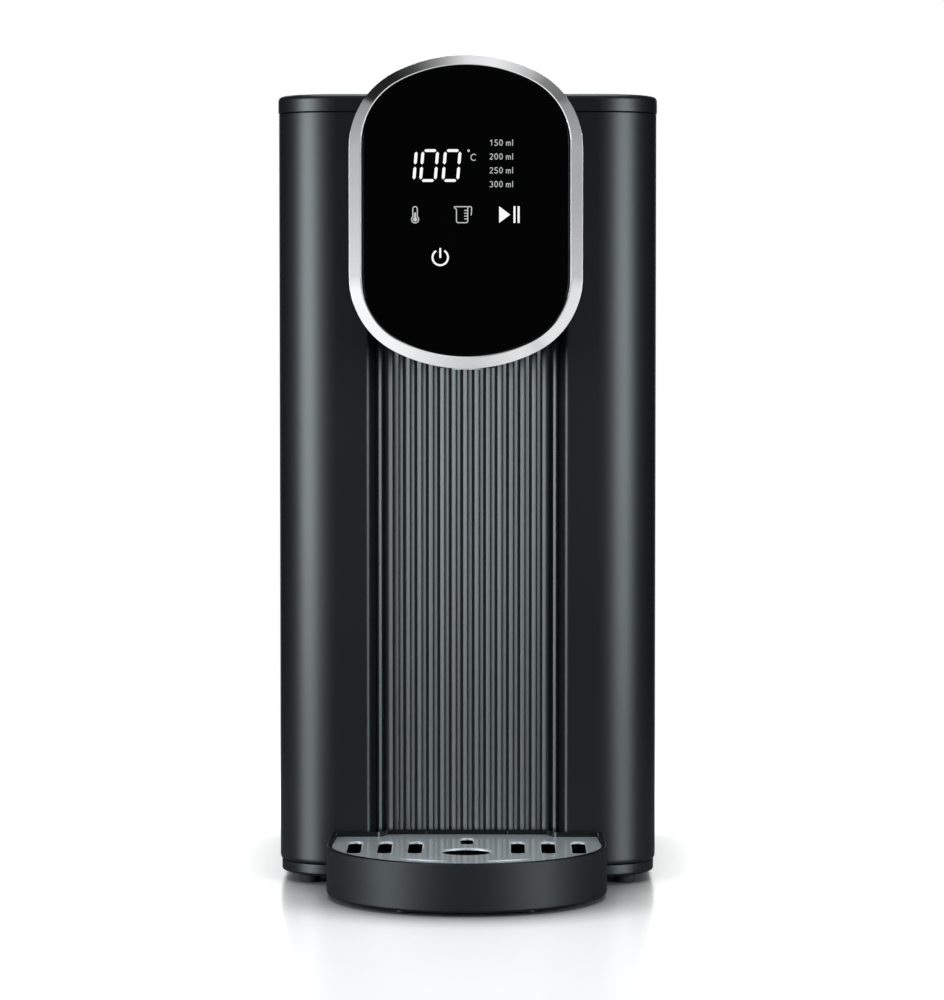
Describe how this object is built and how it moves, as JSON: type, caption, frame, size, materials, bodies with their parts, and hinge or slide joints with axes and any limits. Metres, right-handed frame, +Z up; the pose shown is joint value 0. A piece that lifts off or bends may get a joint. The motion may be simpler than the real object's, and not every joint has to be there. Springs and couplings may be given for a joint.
{
  "type": "instant hot water dispenser",
  "caption": "Upright black water heater on a plinth with a round-ended display head over a drip tray, a ribbed splash panel and a lift-off rear tank.",
  "frame": {"origin": "middle of the floor of the bounding box, on the surface that the feet stand on", "axes": "+Z up, the display and the drip tray face -Y, the water tank is at +Y, +X is to the right seen from the front"},
  "size_m": [0.1708, 0.2836, 0.3667],
  "materials": {
    "matte_black": "fine satin texture",
    "gloss_black": "polished black glass",
    "polished_steel": "polished",
    "satin_steel": "satin",
    "smoked_clear": "smoked clear plastic",
    "rubber": "matt",
    "silicone": "satin, food grade",
    "white_plastic": "moulded",
    "grey_plastic": "moulded",
    "circuit_board": "green solder mask",
    "aluminium": "bare, satin",
    "spring_steel": "bare"
  },
  "bodies": {
    "housing": {"base_plinth": "matte_black", "base_screw_front_left": "spring_steel", "base_screw_front_right": "spring_steel", "base_screw_rear_left": "spring_steel", "base_screw_rear_right": "spring_steel", "foot_front_left": "rubber", "foot_front_right": "rubber", "foot_rear_left": "rubber", "foot_rear_right": "rubber", "front_housing": "matte_black", "splash_panel": "matte_black", "rear_bulkhead": "grey_plastic", "top_cover": "matte_black", "tank_shelf": "matte_black", "cord_gland": "rubber", "tank_dock": "grey_plastic", "dock_seal": "silicone", "pump_housing": "white_plastic", "pump_motor": "aluminium", "pump_bracket": "rubber", "heater_body": "aluminium", "heater_cap_bottom": "white_plastic", "heater_cap_top": "white_plastic", "heating_element": "spring_steel", "thermal_cutout": "aluminium", "temperature_sensor": "spring_steel", "heater_bracket_lower": "grey_plastic", "heater_bracket_upper": "grey_plastic", "suction_hose": "silicone", "pressure_hose": "silicone", "outlet_hose": "silicone", "power_board": "circuit_board", "power_relay": "grey_plastic", "power_heat_sink": "aluminium", "display_ribbon": "grey_plastic", "heater_lead": "silicone", "head_housing": "matte_black", "head_bezel": "polished_steel", "touch_glass": "gloss_black", "display_board": "circuit_board", "digit_display": "white_plastic", "touch_pad_temperature": "spring_steel", "touch_pad_volume": "spring_steel", "touch_pad_start": "spring_steel", "touch_pad_power": "spring_steel", "spout": "white_plastic", "spout_seal": "silicone"},
    "impeller": {"pump_impeller": "white_plastic"},
    "tray": {"drip_tray": "matte_black"},
    "grid": {"drip_grid": "satin_steel"},
    "tank": {"water_tank": "smoked_clear", "hinge_pin_left": "spring_steel", "hinge_pin_right": "spring_steel", "valve_body": "grey_plastic", "valve_spring": "spring_steel", "tank_strainer": "white_plastic", "float_post": "white_plastic"},
    "lid": {"tank_lid": "matte_black"},
    "plunger": {"valve_plunger": "silicone"},
    "float": {"tank_float": "white_plastic"}
  },
  "joints": [
    {"name": "impeller_spin", "type": "hinge", "parent": "housing", "child": "impeller", "pos_m": [-0.033, 0.02305, 0.0245], "axis": [0, 1, 0], "continuous": true},
    {"name": "tray_slide", "type": "slide", "parent": "housing", "child": "tray", "axis": [0, -1, 0], "range_m": [0, 0.12]},
    {"name": "grid_lift", "type": "slide", "parent": "tray", "child": "grid", "axis": [0, 0, 1], "range_m": [0, 0.05]},
    {"name": "tank_lift", "type": "slide", "parent": "housing", "child": "tank", "axis": [0, 0, 1], "range_m": [0, 0.32]},
    {"name": "lid_hinge", "type": "hinge", "parent": "tank", "child": "lid", "pos_m": [0, 0.13905, 0.3463], "axis": [-1, 0, 0], "range_deg": [0, 95]},
    {"name": "plunger_slide", "type": "slide", "parent": "tank", "child": "plunger", "axis": [0, 0, 1], "range_m": [0, 0.003], "stiffness_N_per_m": 150, "springref_m": -0.003, "deforming": ["valve_spring"]},
    {"name": "float_rise", "type": "slide", "parent": "tank", "child": "float", "axis": [0, 0, 1], "range_m": [0, 0.022]}
  ]
}
